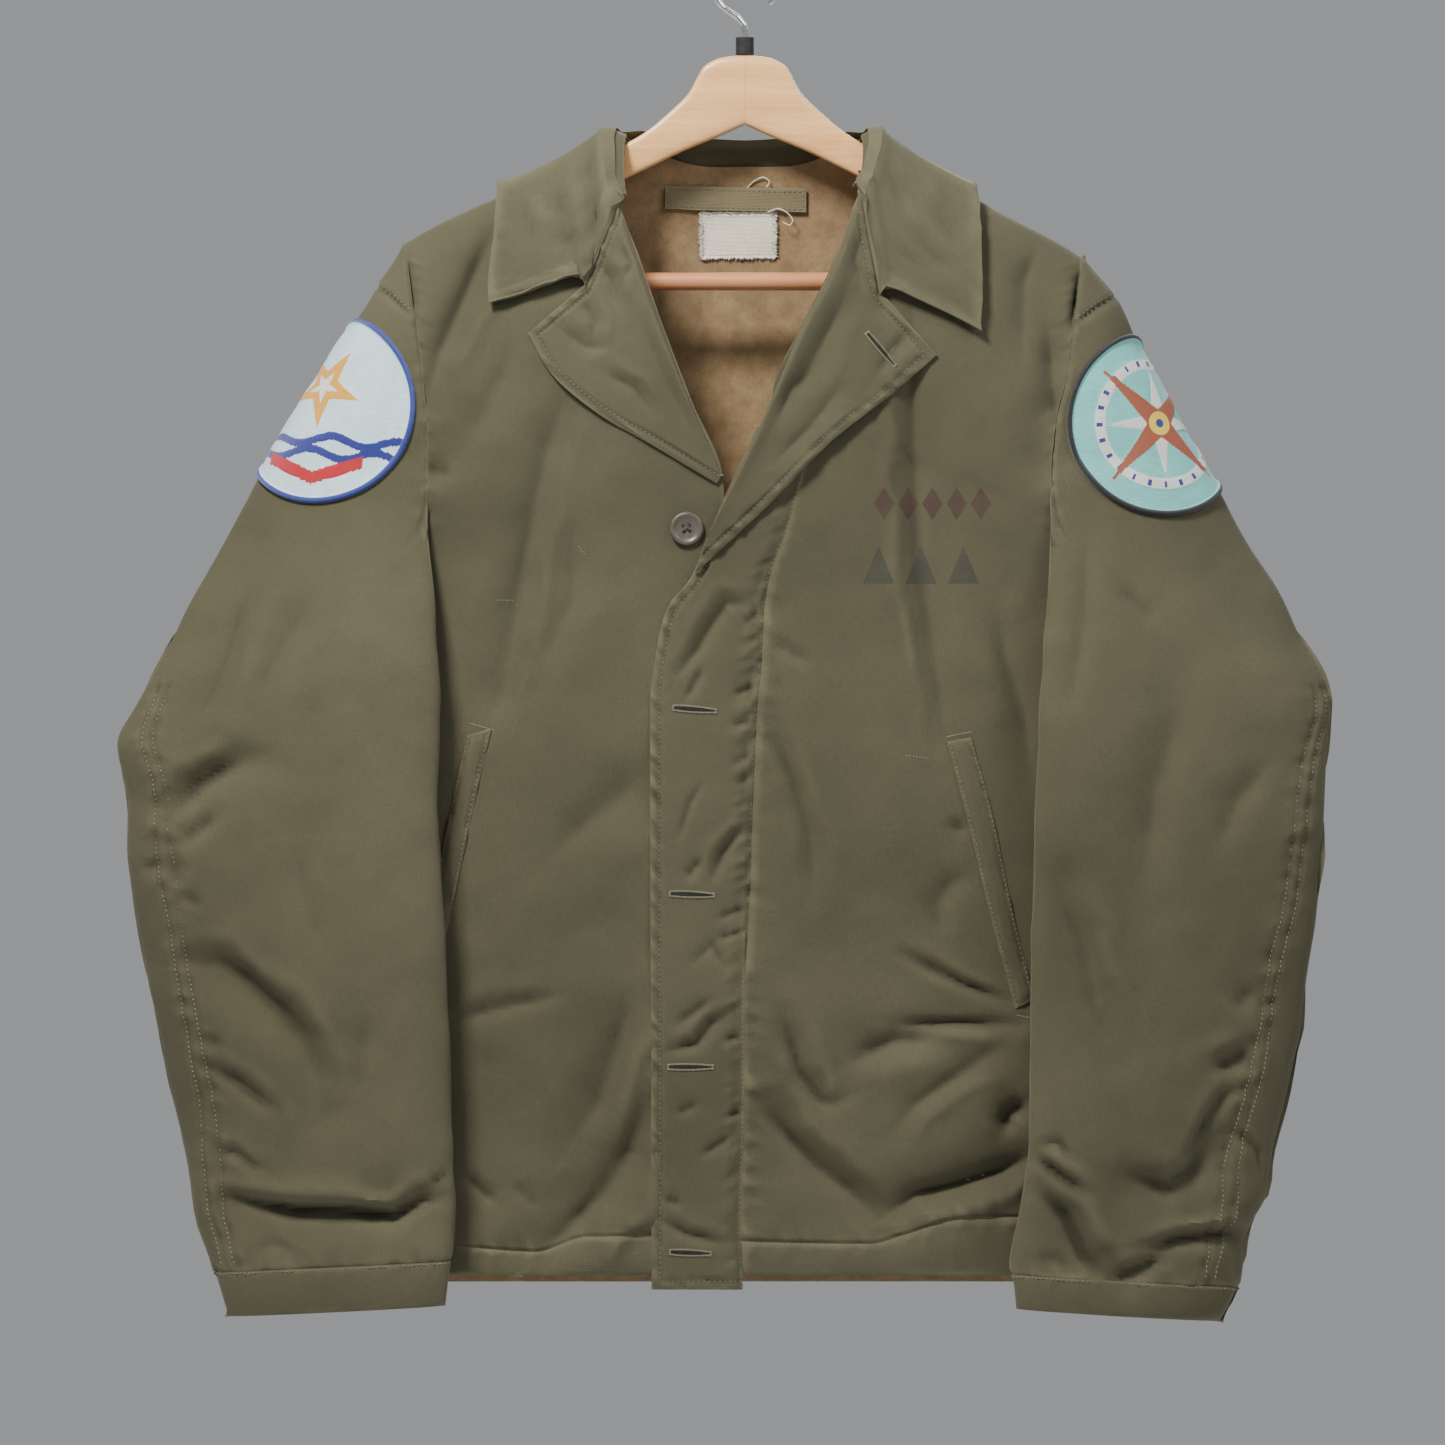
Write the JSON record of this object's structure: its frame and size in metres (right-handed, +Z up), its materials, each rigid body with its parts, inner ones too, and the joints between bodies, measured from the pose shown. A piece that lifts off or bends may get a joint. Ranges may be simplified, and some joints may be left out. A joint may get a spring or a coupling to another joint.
{
  "type": "deck jacket on a wooden coat hanger",
  "caption": "Short olive cotton deck jacket with notched lapels, a fly placket, slanted welt pockets and a round patch on each upper sleeve, hung on a wooden coat hanger.",
  "frame": {"origin": "inside of the top of the hanger's hook, where it bears on the rail or peg that holds it", "axes": "+X towards the wearer's left (right in the picture), -Y the way the jacket's front looks, +Z up"},
  "size_m": [0.7275, 0.1193, 0.8264],
  "materials": {
    "olive_cotton": "worn corded cotton, matt",
    "brown_wool": "napped wool",
    "olive_tape": "twill tape",
    "blank_label": "woven, frayed",
    "blue_patch": "embroidered",
    "aqua_patch": "embroidered",
    "button_horn": "satin",
    "varnished_wood": "varnished",
    "bare_wood": "satin",
    "chrome_wire": "polished",
    "black_ferrule": "satin"
  },
  "bodies": {
    "root": {"front_right": "olive_cotton", "hem_front_right": "olive_cotton", "front_left": "olive_cotton", "hem_front_left": "olive_cotton", "back": "olive_cotton", "hem_back": "olive_cotton", "back_lining": "brown_wool", "placket": "olive_cotton", "lapel_right": "olive_cotton", "lapel_left": "olive_cotton", "collar": "olive_cotton", "sleeve_top_right": "olive_cotton", "sleeve_under_right": "olive_cotton", "cuff_right": "olive_cotton", "pocket_welt_right": "olive_cotton", "sleeve_top_left": "olive_cotton", "sleeve_under_left": "olive_cotton", "cuff_left": "olive_cotton", "pocket_welt_left": "olive_cotton", "patch_right": "blue_patch", "patch_left": "aqua_patch", "hanger_loop": "olive_tape", "label": "blank_label", "button": "button_horn", "hanger_arm_right": "varnished_wood", "hanger_arm_left": "varnished_wood", "hanger_bar": "bare_wood", "hook_collar": "black_ferrule", "hanger_hook": "chrome_wire"}
  },
  "joints": []
}
